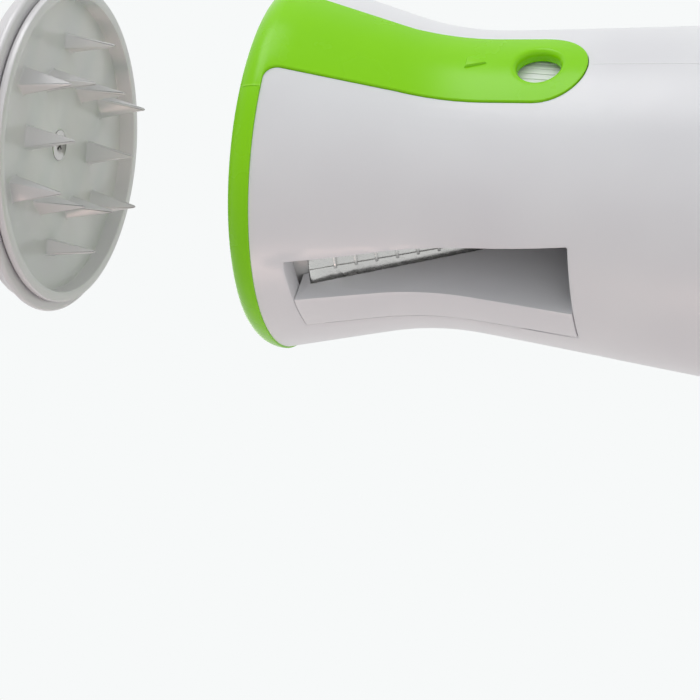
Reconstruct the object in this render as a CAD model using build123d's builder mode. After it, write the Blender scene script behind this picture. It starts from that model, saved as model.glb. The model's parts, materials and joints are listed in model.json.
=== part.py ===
from build123d import *
from math import acos, atan2, cos, pi, radians, sin, tan
import os

# Hand-held spiralizer with a cranked pusher. It stands on its flat base with the mouth up.
# Millimetres. The tool's axis is Z, the hanging strip points to +X and the side window to -Y.

# ---------------------------------------------------------------- driving dimensions

# Barrel: an hourglass moulding
base_radius = 36.0  # foot of the flared grip
shoulder_overhang = 0.6  # the mouth is this much wider than the foot, all round
shoulder_z = 141.0  # top edge of the barrel, where the collar begins
shoulder_radius = base_radius + shoulder_overhang
mouth_cone_height = 21.0  # straight flare under the collar
mouth_flare = 14.7  # degrees from the axis
waist_curve_radius = 55.0
grip_flare = 4.2  # degrees, where the waist curve runs out into the grip
barrel_wall = 3.2
overcut = 1.0  # how far a cutting solid runs past the face that it opens

# Seat for the cutting cone inside the mouth
cone_seat_z = 137.5
shoulder_wall = 3.2
rebate_radius = shoulder_radius - shoulder_wall
cone_ledge = 3.0  # width of the ledge that carries the cone's flange
cone_seat_radius = rebate_radius - cone_ledge  # bore under the seat
throat_z = 128.0  # where the plain bore meets the moulded wall

# Base cap
cap_rim_height = 2.5
cap_plug_height = 8.0
cap_plug_wall = 2.0
cap_plug_clearance = 0.2
cap_floor = 2.4
cap_edge_round = 1.0

# Collar with its strip and hanging eye
collar_height = 4.5
collar_taper = 1.6
collar_front_radius = shoulder_radius - collar_taper
collar_bulge = 0.4
collar_bulge_rise = 2.8
lip_width = 1.2
lip_inner_radius = collar_front_radius - lip_width  # mouth opening at the front edge
lip_depth = 2.4
throat_step = 1.4  # the collar's funnel ends this far inside the cone's ledge
throat_radius = cone_seat_radius - throat_step
strip_mouth_width = 21.4
strip_width = 17.4
strip_neck_z = 118.0  # the strip is parallel below this height
strip_tip_z = 84.5
strip_corner_radius = 3.0
strip_proud = 0.35
strip_inlay = 2.1
strip_clearance = 0.12
eye_radius = 4.0
eye_rim_round = 1.1
eye_dish_radius = 9.0  # ball-shaped hollow in the barrel behind the eye
eye_dish_depth = 3.0
eye_boss_radius = 9.5
eye_boss_wall = 1.8

# Side window, drawn as it is seen square on, and its flush insert
window_top_z = 135.3
window_bottom_z = 84.0
window_top_x = 8.1
window_waist_x = 9.4
window_bottom_x = 12.9
insert_top_x = -9.9
insert_bottom_x = -8.7
insert_drop_top = 1.7  # the window's ends slant down towards the insert
insert_drop_bottom = 2.3
insert_seam = 0.15
insert_rib = 2.0
chute_x = -1.1  # plane of the chute face
chute_wall = 2.0

# Cutting cone
funnel_top_z = 135.0
funnel_lead_in = 3.0  # width of the slope from the collar's funnel to the cone's
funnel_top_radius = throat_radius - funnel_lead_in
funnel_tip_z = 84.6
funnel_tip_radius = 5.0
cone_wall = 2.0
cone_flange_thickness = 2.0
cone_flange_clearance = 0.1

# Slot, blade and slitting comb, set along one side of the cone
slot_angle = -86.0  # degrees round the axis
slot_top_z = 133.0
slot_bottom_z = 91.0
slot_ahead = 4.6  # from the slot's centre line to its open edge
slot_behind = 2.6
blade_pitch = 28.0  # the blade dips through the slot at this angle
blade_pivot = 4.5  # where the blade's seat crosses the cone's surface
blade_lift = 0.3
blade_length = 46.0
blade_thickness = 0.8
blade_reach = 6.8  # from the pivot to the cutting edge
blade_back = 5.0
blade_bevel = 1.8  # width of the ground face at the edge
pad_depth = 3.5
pad_front = 1.2
comb_thickness = 0.5
comb_front = 2.2
comb_back = 4.6
comb_pitch = 4.0
comb_count = 10
tooth_reach = 9.4
tooth_width = 1.6
tooth_drop = 1.0
tooth_rise = 1.1
tooth_root = 0.4  # overlap with the comb's strip
tooth_clearance = 0.3  # from the blade's edge to the tooth's heel
screw_spacing = 30.0
screw_radius = 1.2
screw_seat = 2.4  # from the pivot to the screw line
screw_head_radius = 2.2
screw_head_height = 1.4
screw_depth = 2.6

# Pusher: a guard that is held still and a spiked cup that turns in it
pusher_z = 194.3  # front face of the guard's flange, at rest
guard_overhang = 0.2  # the flange covers the collar's front edge
guard_flange_radius = collar_front_radius + guard_overhang
guard_flange_thickness = 1.6
guard_flange_round = 0.7
cup_gap = 0.3  # running gap round the cup
guard_wall = 1.2
guard_back_wall = 2.2
guard_shoulder_radius = 26.5
guard_shoulder_rise = 6.5
guard_shoulder_slope = 0.35
guard_hub_radius = 18.0
guard_hub_rise = 13.0  # where the back of the guard meets its hub
guard_hub_top = 21.0
guard_hub_round = 2.0
cup_clearance = 0.8  # between the cup's lip and the mouth it goes through
cup_lip_radius = lip_inner_radius - cup_clearance
cup_lip_height = 2.0
cup_lip_thickness = 1.6
cup_lip_width = 1.0
cup_radius = cup_lip_radius - cup_lip_width
cup_wall = 1.2
cup_inner_radius = cup_radius - cup_wall
cup_recess = 3.6  # from the lip's front edge to the plate
plate_thickness = 2.2
spike_height = 10.5
spike_width = 4.8
spike_depth = 3.4
spike_tip = 0.5
outer_spike_radius = 21.6
inner_spike_radius = 14.6
spike_count = 6  # in each of the two rings
outer_spike_turn = 48.0  # degrees, direction of the first outer spike

# Spindle and its bearing
spindle_radius = 4.0
running_gap = 0.05
bush_radius = 6.5
bush_flange_radius = 9.0
bush_flange_thickness = 1.2
drive_flats = 5.6  # across the flats of both squared ends
drive_gap = 0.05
plate_hub_radius = 8.0
plate_hub_height = 3.0
axial_gap = 0.15
thrust_washer_thickness = 0.8
thrust_washer_radius = 7.6
clip_thickness = 0.8
clip_radius = 6.6
clip_groove_radius = 3.3
clip_mouth = 5.4
plate_screw_radius = 1.5
plate_screw_head_radius = 3.2
plate_screw_head_height = 1.8
plate_screw_taper = 30.0  # degrees, side of the countersunk head
plate_screw_length = 10.0

# Crank
crank_radius = 42.0  # from the tool's axis to the grip's axis
crank_hub_radius = 11.0
crank_hub_height = 12.0
crank_end_radius = 7.5
crank_arm_thickness = 6.0
crank_arm_lift = 4.0
crank_edge_round = 1.2
crank_cap_radius = 7.0
crank_cap_rise = 2.2
crank_pocket_depth = 2.0
crank_screw_radius = 1.5
crank_screw_head_radius = 5.0  # a washer head that holds the crank down
crank_screw_head_height = 1.6
crank_screw_length = 8.0

# Grip
pin_radius = 3.0
pin_head_radius = 4.6
pin_head_height = 2.0
grip_length = 44.0
grip_end_radius = 8.0
grip_belly_radius = 10.5
grip_belly_share = 0.56  # how far up its length the grip is thickest
grip_gap = 0.3
grip_cap_thickness = 2.6
grip_cap_round = 1.8
grip_cap_plug = 1.2
grip_cap_plug_radius = 6.2
head_gap = 0.3

os.makedirs("parts", exist_ok=True)


# ---------------------------------------------------------------- the barrel's outer line

flare = radians(mouth_flare)
runout = radians(grip_flare)
neck_point = (shoulder_radius - mouth_cone_height * tan(flare), shoulder_z - mouth_cone_height)
waist_centre = (
    neck_point[0] + waist_curve_radius * cos(flare),
    neck_point[1] - waist_curve_radius * sin(flare),
)
waist_point = (waist_centre[0] - waist_curve_radius, waist_centre[1])
grip_point = (
    waist_centre[0] - waist_curve_radius * cos(runout),
    waist_centre[1] - waist_curve_radius * sin(runout),
)


def sideways(point, shift):
    """The same point, moved away from the axis."""
    return (point[0] + shift, point[1])


def barrel_region(shift):
    """Lines round the half section from the axis to the barrel's outer line, moved out by shift."""
    base = (base_radius + shift, 0)
    shoulder = (shoulder_radius + shift, shoulder_z)
    grip = sideways(grip_point, shift)
    neck = sideways(neck_point, shift)
    Spline(base, grip, tangents=((0, 1), (-sin(runout), cos(runout))))
    ThreePointArc(grip, sideways(waist_point, shift), neck)
    Line(neck, shoulder)
    Polyline(shoulder, (0, shoulder_z), (0, 0), base)


def barrel_envelope(shift):
    """Solid of revolution inside the barrel's outer line, moved out by shift."""
    with BuildPart() as envelope:
        with BuildSketch(Plane.XZ):
            with BuildLine():
                barrel_region(shift)
            make_face()
        revolve(axis=Axis.Z)
    return envelope.part


def strip_solid(inner_shift, outer_shift, grow):
    """The strip's outline pushed through the barrel's wall, between two shifts of its outer line."""
    tip_radius = strip_width / 2 + grow
    tip_centre = strip_tip_z + strip_width / 2
    top = shoulder_z + collar_height
    root = strip_mouth_width / 2 + grow
    with BuildPart() as strip:
        with BuildSketch(Plane.YZ) as outline:
            with BuildLine():
                Polyline(
                    (tip_radius, tip_centre),
                    (tip_radius, strip_neck_z),
                    (root, shoulder_z),
                    (root + strip_mouth_width / 2, shoulder_z),
                    (root + strip_mouth_width / 2, top),
                    (-root - strip_mouth_width / 2, top),
                    (-root - strip_mouth_width / 2, shoulder_z),
                    (-root, shoulder_z),
                    (-tip_radius, strip_neck_z),
                    (-tip_radius, tip_centre),
                )
                ThreePointArc(
                    (-tip_radius, tip_centre), (0, tip_centre - tip_radius), (tip_radius, tip_centre)
                )
            make_face()
            corners = [
                v
                for v in outline.vertices()
                if abs(v.Y - shoulder_z) < 0.01 and abs(abs(v.X) - root) < 0.01
            ]
            fillet(corners, strip_corner_radius)
        extrude(amount=shoulder_radius + outer_shift + overcut)
        add(barrel_envelope(outer_shift), mode=Mode.INTERSECT)
        add(barrel_envelope(inner_shift), mode=Mode.SUBTRACT)
    return strip.part


# ---------------------------------------------------------------- the cutting cone's planes

cone_half_angle = atan2(funnel_top_radius - funnel_tip_radius, funnel_top_z - funnel_tip_z)
cone_wall_across = cone_wall / cos(cone_half_angle)
cone_slope = tan(cone_half_angle)
slot_middle_z = (slot_top_z + slot_bottom_z) / 2
slot_length = (slot_top_z - slot_bottom_z) / cos(cone_half_angle)
slot_turn = radians(slot_angle)
slot_surface_radius = funnel_tip_radius + (slot_middle_z - funnel_tip_z) * cone_slope + cone_wall_across

# local x runs up the cone's side, y away from the open edge of the slot, z out of the cone
slot_plane = Plane(
    origin=(slot_surface_radius * cos(slot_turn), slot_surface_radius * sin(slot_turn), slot_middle_z),
    x_dir=(
        sin(cone_half_angle) * cos(slot_turn),
        sin(cone_half_angle) * sin(slot_turn),
        cos(cone_half_angle),
    ),
    z_dir=(
        cos(cone_half_angle) * cos(slot_turn),
        cos(cone_half_angle) * sin(slot_turn),
        -sin(cone_half_angle),
    ),
)
blade_plane = Plane(
    origin=slot_plane.from_local_coords((0, blade_pivot, blade_lift)),
    x_dir=slot_plane.x_dir,
    z_dir=slot_plane.z_dir.rotate(Axis((0, 0, 0), slot_plane.x_dir), blade_pitch),
)


def blade_section(offset_along):
    """Plane square to the blade, at a distance along it from its middle."""
    return Plane(
        origin=blade_plane.from_local_coords((offset_along, 0, 0)),
        x_dir=blade_plane.y_dir,
        z_dir=blade_plane.x_dir,
    )


# ---------------------------------------------------------------- barrel

window_waist_z = waist_point[1]
window_outline = [
    (insert_bottom_x, window_bottom_z - insert_drop_bottom),
    (insert_top_x, window_top_z - insert_drop_top),
    (window_top_x, window_top_z),
]
tip_centre_z = strip_tip_z + strip_width / 2
strip_floor_x = waist_point[0] - strip_inlay
dish_floor_x = strip_floor_x - eye_dish_depth

with BuildPart() as barrel_bore:
    add(barrel_envelope(-barrel_wall))
    with BuildSketch(Plane.XY.offset(throat_z)):
        Circle(shoulder_radius)
    extrude(amount=shoulder_z - throat_z, mode=Mode.SUBTRACT)

with BuildPart() as barrel_shell:
    add(barrel_envelope(0))
    add(barrel_bore.part, mode=Mode.SUBTRACT)
    with BuildSketch(Plane.XY.offset(throat_z)):
        Circle(cone_seat_radius)
    extrude(amount=shoulder_z - throat_z, mode=Mode.SUBTRACT)
    with BuildSketch(Plane.XY.offset(cone_seat_z)):
        Circle(rebate_radius)
    extrude(amount=shoulder_z - cone_seat_z, mode=Mode.SUBTRACT)
    # boss inside the wall that carries the hollow behind the eye
    with BuildSketch(Plane.YZ.offset(dish_floor_x - eye_boss_wall)):
        with Locations((0, tip_centre_z)):
            Circle(eye_boss_radius)
    extrude(amount=strip_floor_x - dish_floor_x + eye_boss_wall)
    # window, cut square to -Y
    with BuildSketch(Plane.XZ):
        with BuildLine():
            Polyline((window_bottom_x, window_bottom_z), *window_outline)
            ThreePointArc(
                (window_top_x, window_top_z),
                (window_waist_x, window_waist_z),
                (window_bottom_x, window_bottom_z),
            )
        make_face()
    extrude(amount=shoulder_radius + overcut, mode=Mode.SUBTRACT)
    # seat of the strip and the hollow behind its eye
    add(strip_solid(-strip_inlay, strip_proud + overcut, strip_clearance), mode=Mode.SUBTRACT)
    with Locations((dish_floor_x + eye_dish_radius, 0, tip_centre_z)):
        Sphere(eye_dish_radius, mode=Mode.SUBTRACT)
    # the bottom rim is left to the base cap
    with BuildSketch(Plane.XY):
        Circle(base_radius + overcut)
    extrude(amount=cap_rim_height, mode=Mode.SUBTRACT)
barrel_shell.part.label = "barrel_shell"

# ---------------------------------------------------------------- base cap

cap_plug_radius = base_radius - barrel_wall - cap_plug_clearance
with BuildPart() as base_cap:
    with BuildSketch():
        Circle(base_radius)
    extrude(amount=cap_rim_height)
    chamfer(base_cap.edges().group_by(Axis.Z)[0], cap_edge_round)
    with BuildSketch(Plane.XY.offset(cap_rim_height)):
        Circle(cap_plug_radius)
    extrude(amount=cap_plug_height)
    with BuildSketch(Plane.XY.offset(cap_floor)):
        Circle(cap_plug_radius - cap_plug_wall)
    extrude(amount=cap_rim_height + cap_plug_height - cap_floor, mode=Mode.SUBTRACT)
base_cap.part.label = "base_cap"

# ---------------------------------------------------------------- collar

collar_top_z = shoulder_z + collar_height
collar_outer_radius = shoulder_radius + strip_proud
collar_seat_z = cone_seat_z + cone_flange_thickness
with BuildPart() as collar:
    with BuildSketch(Plane.XZ):
        with BuildLine():
            ThreePointArc(
                (collar_outer_radius, shoulder_z),
                (
                    (collar_outer_radius + collar_front_radius) / 2 + collar_bulge,
                    shoulder_z + collar_bulge_rise,
                ),
                (collar_front_radius, collar_top_z),
            )
            Polyline(
                (collar_front_radius, collar_top_z),
                (lip_inner_radius, collar_top_z),
                (lip_inner_radius, collar_top_z - lip_depth),
                (throat_radius, collar_seat_z),
                (rebate_radius - cone_flange_clearance, collar_seat_z),
                (rebate_radius - cone_flange_clearance, shoulder_z),
                (collar_outer_radius, shoulder_z),
            )
        make_face()
    revolve(axis=Axis.Z)
    add(strip_solid(-strip_inlay, strip_proud, 0))
    with BuildSketch(Plane.YZ.offset(strip_floor_x - overcut)):
        with Locations((0, tip_centre_z)):
            Circle(eye_radius)
    extrude(amount=shoulder_radius - strip_floor_x + overcut, mode=Mode.SUBTRACT)
    eye_rim = [
        e
        for e in collar.edges().filter_by(lambda e: abs(e.length - 2 * pi * eye_radius) < 1)
        if e.center().X > waist_point[0] - strip_inlay / 2
        and abs(e.center().Z - tip_centre_z) < eye_radius
    ]
    fillet(eye_rim, eye_rim_round)
collar.part.label = "collar"

# ---------------------------------------------------------------- cutting cone

comb_top = blade_thickness + comb_thickness
flange_radius = rebate_radius - cone_flange_clearance
with BuildPart() as cutting_cone:
    with BuildSketch(Plane.XZ):
        with BuildLine():
            Polyline(
                (0, funnel_tip_z),
                (funnel_tip_radius + cone_wall_across, funnel_tip_z),
                (funnel_top_radius + cone_wall_across, funnel_top_z),
                (cone_seat_radius - cone_flange_clearance, cone_seat_z),
                (flange_radius, cone_seat_z),
                (flange_radius, collar_seat_z),
                (0, collar_seat_z),
                close=True,
            )
        make_face()
    revolve(axis=Axis.Z)
    # pitched pad that the blade lies on
    with BuildSketch(blade_plane):
        with Locations((0, (blade_back - pad_front) / 2)):
            Rectangle(blade_length, blade_back + pad_front)
    extrude(amount=-pad_depth)
    # the funnel itself
    with BuildSketch(Plane.XZ):
        with BuildLine():
            Polyline(
                (0, funnel_tip_z - overcut),
                (funnel_tip_radius - overcut * cone_slope, funnel_tip_z - overcut),
                (funnel_top_radius, funnel_top_z),
                (throat_radius, collar_seat_z),
                (throat_radius, collar_seat_z + overcut),
                (0, collar_seat_z + overcut),
                close=True,
            )
        make_face()
    revolve(axis=Axis.Z, mode=Mode.SUBTRACT)
    # pocket that lets the blade and its comb dip through the wall
    with BuildSketch(blade_plane):
        with Locations((0, (blade_back - blade_reach) / 2)):
            Rectangle(blade_length, blade_back + blade_reach)
    extrude(amount=comb_top + screw_head_height, mode=Mode.SUBTRACT)
    # cutting slot
    with BuildSketch(slot_plane):
        with Locations((0, (slot_behind - slot_ahead) / 2)):
            Rectangle(slot_length, slot_behind + slot_ahead)
    extrude(amount=slot_surface_radius / 2, both=True, mode=Mode.SUBTRACT)
    with BuildSketch(blade_plane):
        with Locations((screw_spacing / 2, screw_seat), (-screw_spacing / 2, screw_seat)):
            Circle(screw_radius)
    extrude(amount=-screw_depth, mode=Mode.SUBTRACT)
cutting_cone.part.label = "cutting_cone"

# ---------------------------------------------------------------- blade, comb and screws

with BuildPart() as julienne_blade:
    with BuildSketch(blade_section(-blade_length / 2)):
        with BuildLine():
            Polyline(
                (-blade_reach, 0),
                (blade_back, 0),
                (blade_back, blade_thickness),
                (-blade_reach + blade_bevel, blade_thickness),
                close=True,
            )
        make_face()
    extrude(amount=blade_length)
    with BuildSketch(blade_plane):
        with Locations((screw_spacing / 2, screw_seat), (-screw_spacing / 2, screw_seat)):
            Circle(screw_radius)
    extrude(amount=blade_thickness, mode=Mode.SUBTRACT)
julienne_blade.part.label = "julienne_blade"

with BuildPart() as slitting_comb:
    with BuildSketch(blade_plane.offset(blade_thickness)):
        with Locations((0, (comb_back - comb_front) / 2)):
            Rectangle(blade_length, comb_back + comb_front)
    extrude(amount=comb_thickness)
    for index in range(comb_count):
        along = (index - (comb_count - 1) / 2) * comb_pitch
        with BuildSketch(blade_section(along - comb_thickness / 2)):
            with BuildLine():
                Polyline(
                    (-comb_front + tooth_root, blade_thickness),
                    (-comb_front + tooth_root, comb_top + tooth_rise / 2),
                    (-tooth_reach + tooth_width, comb_top + tooth_rise),
                    (-tooth_reach, -tooth_drop),
                    (-blade_reach - tooth_clearance, -blade_thickness / 2),
                    (-blade_reach + tooth_clearance, blade_thickness),
                    close=True,
                )
            make_face()
        extrude(amount=comb_thickness)
    with BuildSketch(blade_plane.offset(blade_thickness)):
        with Locations((screw_spacing / 2, screw_seat), (-screw_spacing / 2, screw_seat)):
            Circle(screw_radius)
    extrude(amount=comb_thickness, mode=Mode.SUBTRACT)
slitting_comb.part.label = "slitting_comb"

with BuildPart() as blade_screws:
    with BuildSketch(blade_plane.offset(comb_top)):
        with Locations((screw_spacing / 2, screw_seat), (-screw_spacing / 2, screw_seat)):
            Circle(screw_head_radius)
    extrude(amount=screw_head_height)
    with BuildSketch(blade_plane.offset(comb_top)):
        with Locations((screw_spacing / 2, screw_seat), (-screw_spacing / 2, screw_seat)):
            Circle(screw_radius)
    extrude(amount=-comb_top - screw_depth)
blade_screws.part.label = "blade_screws"

# ---------------------------------------------------------------- window insert

with BuildPart() as insert_core:
    with BuildSketch(Plane.XZ):
        with BuildLine():
            Polyline(
                (insert_bottom_x - shoulder_radius, window_bottom_z - insert_drop_bottom + insert_rib),
                (chute_x - chute_wall, window_bottom_z - insert_drop_bottom + insert_rib),
                (chute_x - chute_wall, window_top_z - insert_drop_top - insert_rib),
                (insert_top_x - shoulder_radius, window_top_z - insert_drop_top - insert_rib),
                close=True,
            )
        make_face()
    extrude(amount=shoulder_radius)
    add(barrel_envelope(-barrel_wall), mode=Mode.INTERSECT)

# the cone's outer side, continued down past the foot of the insert
cone_space_foot_z = window_bottom_z - insert_drop_bottom - overcut
cone_space_top = funnel_top_radius + cone_wall_across + insert_seam
cone_space_foot = cone_space_top - (funnel_top_z - cone_space_foot_z) * cone_slope
with BuildPart() as cone_space:
    with BuildSketch(Plane.XZ):
        with BuildLine():
            Polyline(
                (0, cone_space_foot_z),
                (cone_space_foot, cone_space_foot_z),
                (cone_space_top, funnel_top_z),
                (0, funnel_top_z),
                close=True,
            )
        make_face()
    revolve(axis=Axis.Z)

window_slope = insert_drop_top / (window_top_x - insert_top_x)
sill_slope = insert_drop_bottom / (window_bottom_x - insert_bottom_x)
with BuildPart() as window_insert:
    with BuildSketch(Plane.XZ):
        with BuildLine():
            Polyline(
                (insert_bottom_x + insert_seam, window_bottom_z - insert_drop_bottom + insert_seam),
                (insert_top_x + insert_seam, window_top_z - insert_drop_top - insert_seam),
                (
                    chute_x,
                    window_top_z - insert_seam - window_slope * (window_top_x - chute_x),
                ),
                (
                    chute_x,
                    window_bottom_z + insert_seam - sill_slope * (window_bottom_x - chute_x),
                ),
                close=True,
            )
        make_face()
    extrude(amount=shoulder_radius)
    add(barrel_envelope(0), mode=Mode.INTERSECT)
    add(insert_core.part, mode=Mode.SUBTRACT)
    add(cone_space.part, mode=Mode.SUBTRACT)
    add(cutting_cone.part, mode=Mode.SUBTRACT)
    # room for the blade, its comb and the screw heads
    with BuildSketch(blade_section(-blade_length / 2 - insert_seam)):
        with Locations(((blade_back - tooth_reach) / 2, (comb_top + screw_head_height) / 2)):
            Rectangle(
                blade_back + tooth_reach + 2 * insert_seam, comb_top + screw_head_height + insert_seam
            )
    extrude(amount=blade_length + 2 * insert_seam, mode=Mode.SUBTRACT)
window_insert.part.label = "window_insert"

# ---------------------------------------------------------------- pusher: the turning cup

lip_z = pusher_z - cup_lip_height
plate_front_z = lip_z + cup_recess
plate_back_z = plate_front_z + plate_thickness
plate_hub_top = plate_back_z + plate_hub_height
with BuildPart() as spike_plate:
    with BuildSketch(Plane.XZ):
        with BuildLine():
            Polyline(
                (0, plate_front_z),
                (cup_inner_radius, plate_front_z),
                (cup_inner_radius, lip_z),
                (cup_lip_radius, lip_z),
                (cup_lip_radius, lip_z + cup_lip_thickness),
                (cup_radius, lip_z + cup_lip_thickness),
                (cup_radius, plate_back_z),
                (plate_hub_radius, plate_back_z),
                (plate_hub_radius, plate_hub_top),
                (0, plate_hub_top),
                close=True,
            )
        make_face()
    revolve(axis=Axis.Z)
    # two staggered rings of pyramid spikes
    for ring_radius, first_turn in (
        (outer_spike_radius, outer_spike_turn),
        (inner_spike_radius, outer_spike_turn + 180 / spike_count),
    ):
        for spot in PolarLocations(ring_radius, spike_count, start_angle=first_turn):
            with BuildSketch(Plane.XY.offset(plate_front_z) * spot):
                Rectangle(spike_depth, spike_width)
            with BuildSketch(Plane.XY.offset(plate_front_z - spike_height) * spot):
                Rectangle(spike_tip, spike_tip)
            loft()
    # squared socket for the spindle and countersink for its screw
    with BuildSketch(Plane.XY.offset(plate_front_z + plate_screw_head_height)):
        Rectangle(drive_flats + 2 * drive_gap, drive_flats + 2 * drive_gap)
    extrude(amount=plate_hub_height + plate_thickness, mode=Mode.SUBTRACT)
    with BuildSketch(Plane.XY.offset(plate_front_z)):
        Circle(plate_screw_head_radius)
    extrude(amount=plate_screw_head_height, taper=plate_screw_taper, mode=Mode.SUBTRACT)
spike_plate.part.label = "spike_plate"

# ---------------------------------------------------------------- pusher: the guard

cup_pocket_radius = cup_radius + cup_gap
guard_pocket_z = plate_back_z + cup_gap
guard_outer_radius = cup_pocket_radius + guard_wall
hub_floor_z = plate_hub_top + thrust_washer_thickness + 2 * axial_gap
guard_top_z = pusher_z + guard_hub_top
with BuildPart() as guard_ring:
    with BuildSketch(Plane.XZ):
        with BuildLine():
            Polyline(
                (0, pusher_z),
                (guard_flange_radius, pusher_z),
                (guard_flange_radius, pusher_z + guard_flange_thickness),
                (guard_outer_radius, pusher_z + guard_flange_thickness),
                (guard_outer_radius, guard_pocket_z),
            )
            Spline(
                (guard_outer_radius, guard_pocket_z),
                (guard_shoulder_radius, pusher_z + guard_shoulder_rise + guard_back_wall),
                (guard_hub_radius, pusher_z + guard_hub_rise),
                tangents=((-1, guard_shoulder_slope), (0, 1)),
            )
            Polyline(
                (guard_hub_radius, pusher_z + guard_hub_rise),
                (guard_hub_radius, guard_top_z),
                (0, guard_top_z),
                (0, pusher_z),
            )
        make_face()
    revolve(axis=Axis.Z)
    fillet(guard_ring.edges().group_by(Axis.Z)[-1], guard_hub_round)
    fillet(
        guard_ring.edges().filter_by(GeomType.CIRCLE).group_by(SortBy.RADIUS)[-1],
        guard_flange_round,
    )
    # pocket for the cup, open to the front
    with BuildSketch(Plane.XY.offset(pusher_z)):
        Circle(cup_pocket_radius)
    extrude(amount=guard_pocket_z - pusher_z, mode=Mode.SUBTRACT)
    # well for the cup's hub, the thrust washer and the bush
    with BuildSketch(Plane.XY.offset(guard_pocket_z)):
        Circle(bush_flange_radius)
    extrude(amount=hub_floor_z + bush_flange_thickness - guard_pocket_z, mode=Mode.SUBTRACT)
    with BuildSketch(Plane.XY.offset(guard_pocket_z)):
        Circle(bush_radius)
    extrude(amount=guard_top_z - guard_pocket_z, mode=Mode.SUBTRACT)
guard_ring.part.label = "guard_ring"

with BuildPart() as spindle_bush:
    with BuildSketch(Plane.XY.offset(hub_floor_z)):
        Circle(bush_flange_radius)
    extrude(amount=bush_flange_thickness)
    with BuildSketch(Plane.XY.offset(hub_floor_z)):
        Circle(bush_radius)
    extrude(amount=guard_top_z - hub_floor_z)
    with BuildSketch(Plane.XY.offset(hub_floor_z)):
        Circle(spindle_radius + running_gap)
    extrude(amount=guard_top_z - hub_floor_z, mode=Mode.SUBTRACT)
spindle_bush.part.label = "spindle_bush"

# ---------------------------------------------------------------- spindle train

clip_z = guard_top_z + axial_gap
crank_base_z = clip_z + clip_thickness + axial_gap
crank_top_z = crank_base_z + crank_hub_height
spindle_foot_z = plate_front_z + plate_screw_head_height
spindle_top_z = crank_top_z - crank_pocket_depth - crank_screw_head_height
with BuildPart() as spindle:
    with BuildSketch(Plane.XY.offset(spindle_foot_z)):
        Rectangle(drive_flats, drive_flats)
    extrude(amount=spindle_top_z - spindle_foot_z)
    with BuildSketch(Plane.XY.offset(plate_hub_top)):
        Circle(spindle_radius)
    extrude(amount=crank_base_z - plate_hub_top)
    with BuildSketch(Plane.XY.offset(clip_z)):
        Circle(spindle_radius + overcut)
        Circle(clip_groove_radius, mode=Mode.SUBTRACT)
    extrude(amount=clip_thickness, mode=Mode.SUBTRACT)
    with BuildSketch(Plane.XY.offset(spindle_foot_z)):
        Circle(plate_screw_radius)
    extrude(amount=plate_screw_length, mode=Mode.SUBTRACT)
    with BuildSketch(Plane.XY.offset(spindle_top_z)):
        Circle(crank_screw_radius)
    extrude(amount=-crank_screw_length, mode=Mode.SUBTRACT)
spindle.part.label = "spindle"

with BuildPart() as thrust_washer:
    with BuildSketch(Plane.XY.offset(plate_hub_top + axial_gap)):
        Circle(thrust_washer_radius)
        Circle(spindle_radius + running_gap, mode=Mode.SUBTRACT)
    extrude(amount=thrust_washer_thickness)
thrust_washer.part.label = "thrust_washer"

with BuildPart() as retaining_clip:
    with BuildSketch(Plane.XY.offset(clip_z)):
        Circle(clip_radius)
        Circle(clip_groove_radius, mode=Mode.SUBTRACT)
        with Locations((-clip_radius, 0)):
            Rectangle(2 * clip_radius, clip_mouth, mode=Mode.SUBTRACT)
    extrude(amount=clip_thickness)
retaining_clip.part.label = "retaining_clip"

with BuildPart() as plate_screw:
    with BuildSketch(Plane.XY.offset(plate_front_z)):
        Circle(plate_screw_head_radius)
    extrude(amount=plate_screw_head_height, taper=plate_screw_taper)
    with BuildSketch(Plane.XY.offset(plate_front_z)):
        Circle(plate_screw_radius)
    extrude(amount=plate_screw_head_height + plate_screw_length)
plate_screw.part.label = "plate_screw"

# ---------------------------------------------------------------- crank

arm_base_z = crank_base_z + crank_arm_lift
arm_top_z = arm_base_z + crank_arm_thickness
with BuildPart() as crank_arm:
    with BuildSketch(Plane.XY.offset(arm_base_z)):
        with BuildLine():
            lean = acos((crank_hub_radius - crank_end_radius) / crank_radius)
            hub_tangent = (crank_hub_radius * cos(lean), crank_hub_radius * sin(lean))
            end_tangent = (
                crank_radius + crank_end_radius * cos(lean),
                crank_end_radius * sin(lean),
            )
            Line(hub_tangent, end_tangent)
            ThreePointArc(
                end_tangent, (crank_radius + crank_end_radius, 0), (end_tangent[0], -end_tangent[1])
            )
            Line((end_tangent[0], -end_tangent[1]), (hub_tangent[0], -hub_tangent[1]))
            ThreePointArc((hub_tangent[0], -hub_tangent[1]), (-crank_hub_radius, 0), hub_tangent)
        make_face()
    extrude(amount=crank_arm_thickness)
    fillet(crank_arm.edges().group_by(Axis.Z)[0], crank_edge_round)
    with BuildSketch(Plane.XY.offset(crank_base_z)):
        Circle(crank_hub_radius)
    extrude(amount=crank_hub_height)
    fillet(
        crank_arm.edges().filter_by(GeomType.CIRCLE).group_by(Axis.Z)[-1],
        crank_edge_round,
    )
    with BuildSketch(Plane.XY.offset(crank_top_z)):
        Circle(crank_cap_radius)
    extrude(amount=-crank_pocket_depth - crank_screw_head_height, mode=Mode.SUBTRACT)
    with BuildSketch(Plane.XY.offset(crank_base_z)):
        Rectangle(drive_flats + 2 * drive_gap, drive_flats + 2 * drive_gap)
    extrude(amount=crank_hub_height, mode=Mode.SUBTRACT)
    with BuildSketch(Plane.XY.offset(arm_base_z)):
        with Locations((crank_radius, 0)):
            Circle(pin_radius)
    extrude(amount=crank_arm_thickness, mode=Mode.SUBTRACT)
crank_arm.part.label = "crank_arm"

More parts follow.
